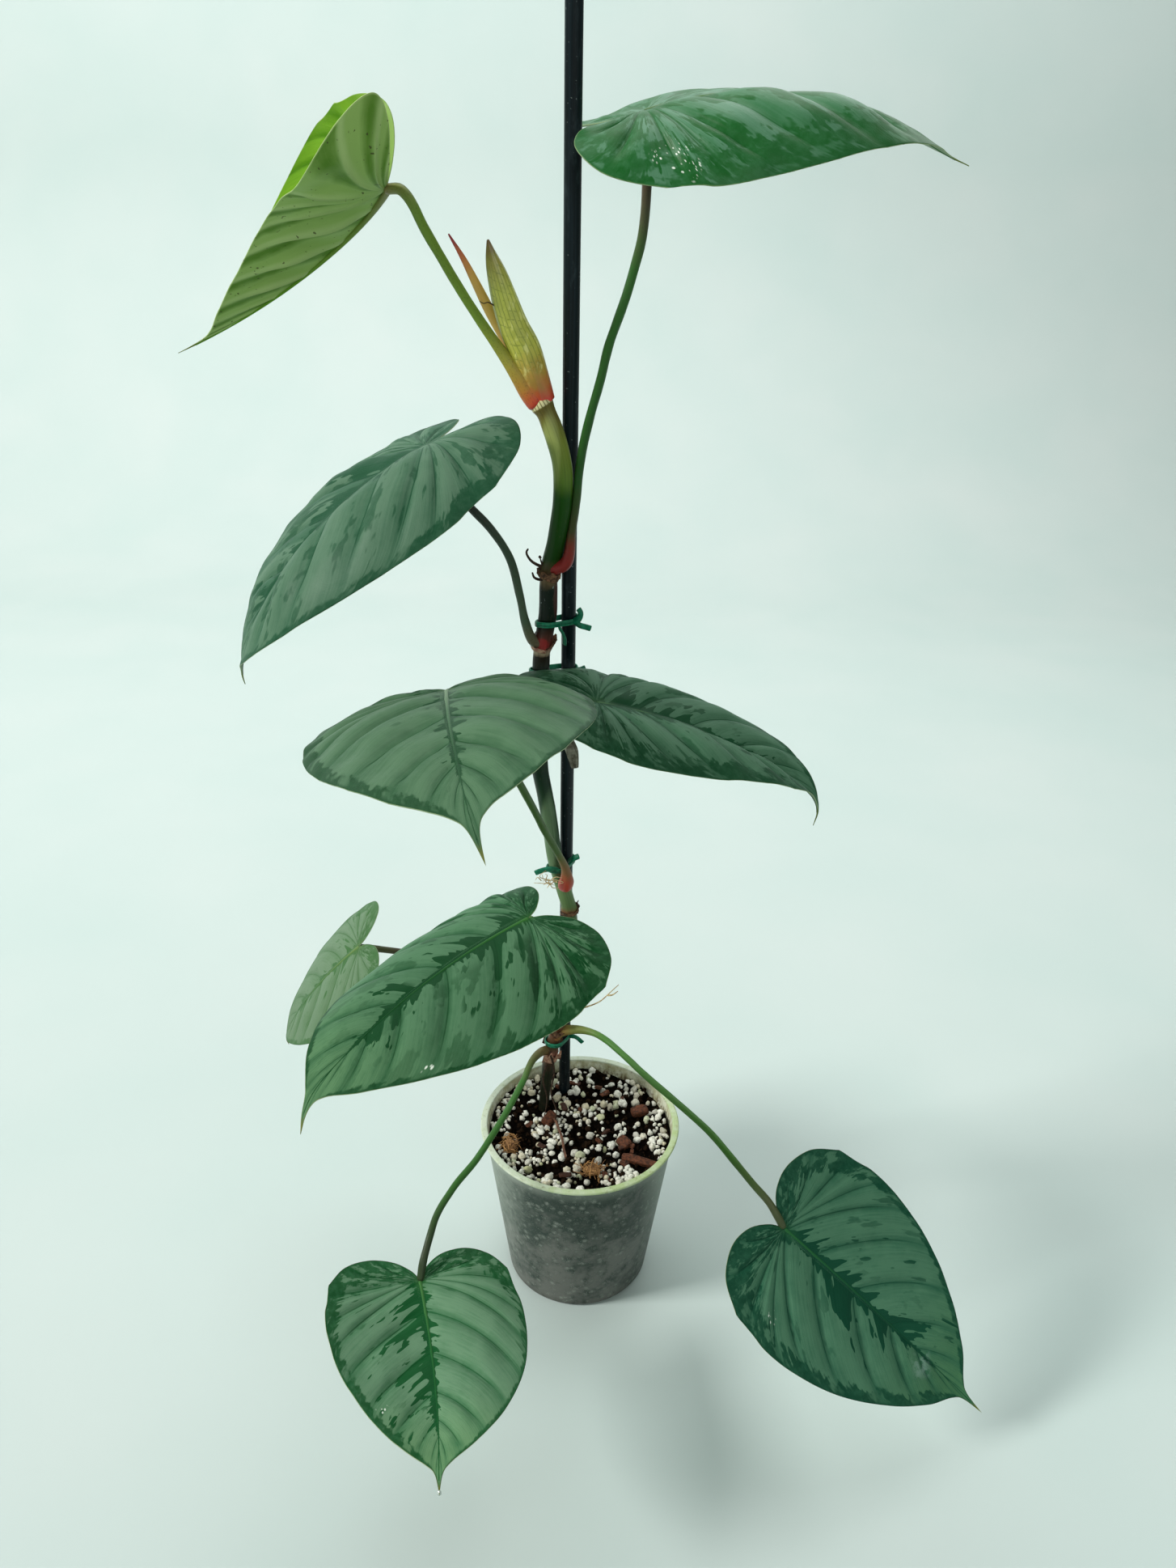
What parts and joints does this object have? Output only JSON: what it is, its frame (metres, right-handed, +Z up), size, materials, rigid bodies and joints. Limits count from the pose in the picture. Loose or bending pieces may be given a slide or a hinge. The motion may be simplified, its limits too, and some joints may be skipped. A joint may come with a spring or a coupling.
{
  "type": "potted philodendron on a stake",
  "caption": "Potted climbing philodendron tied to a tall stake, with heart-shaped leaves on long stalks and a sheathed new shoot, in a clear nursery pot of potting mix.",
  "frame": {"origin": "middle of the pot's flat underside", "axes": "+Z up along the plant; the leaves face and the stake leans towards -Y; +X to the right as seen from there"},
  "size_m": [0.4691, 0.366, 0.7914],
  "materials": {
    "pot": "frosted translucent plastic, dusty, with a pale green lip",
    "mix": "dark coarse potting mix with white perlite, bark chips and coconut fibre",
    "stake": "near-black green plastic coating with a soft sheen",
    "stem": "smooth green plant stem with brown leaf scars",
    "new_leaf": "soft young leaf, yellow-green",
    "leaf": "satin leaf, silver-green with dark green splashes",
    "sheath": "waxy yellow-green sheath with a fine net of veins and a red base",
    "bract": "thin waxy sheath, orange-red",
    "dry_bract": "dry papery brown-grey sheath",
    "tie": "dark green plastic garden tie"
  },
  "bodies": {
    "root": {"pot": "pot", "potting_mix": "mix", "stake": "stake", "stem": "stem", "leaf_1": "new_leaf", "leaf_2": "leaf", "leaf_3": "leaf", "leaf_4": "leaf", "leaf_5": "leaf", "leaf_6": "leaf", "leaf_7": "leaf", "leaf_8": "leaf", "leaf_9": "leaf", "sheath": "sheath", "bract": "bract", "dry_bract": "dry_bract", "tie_1": "tie", "tie_2": "tie", "tie_3": "tie", "tie_4": "tie"}
  },
  "joints": []
}
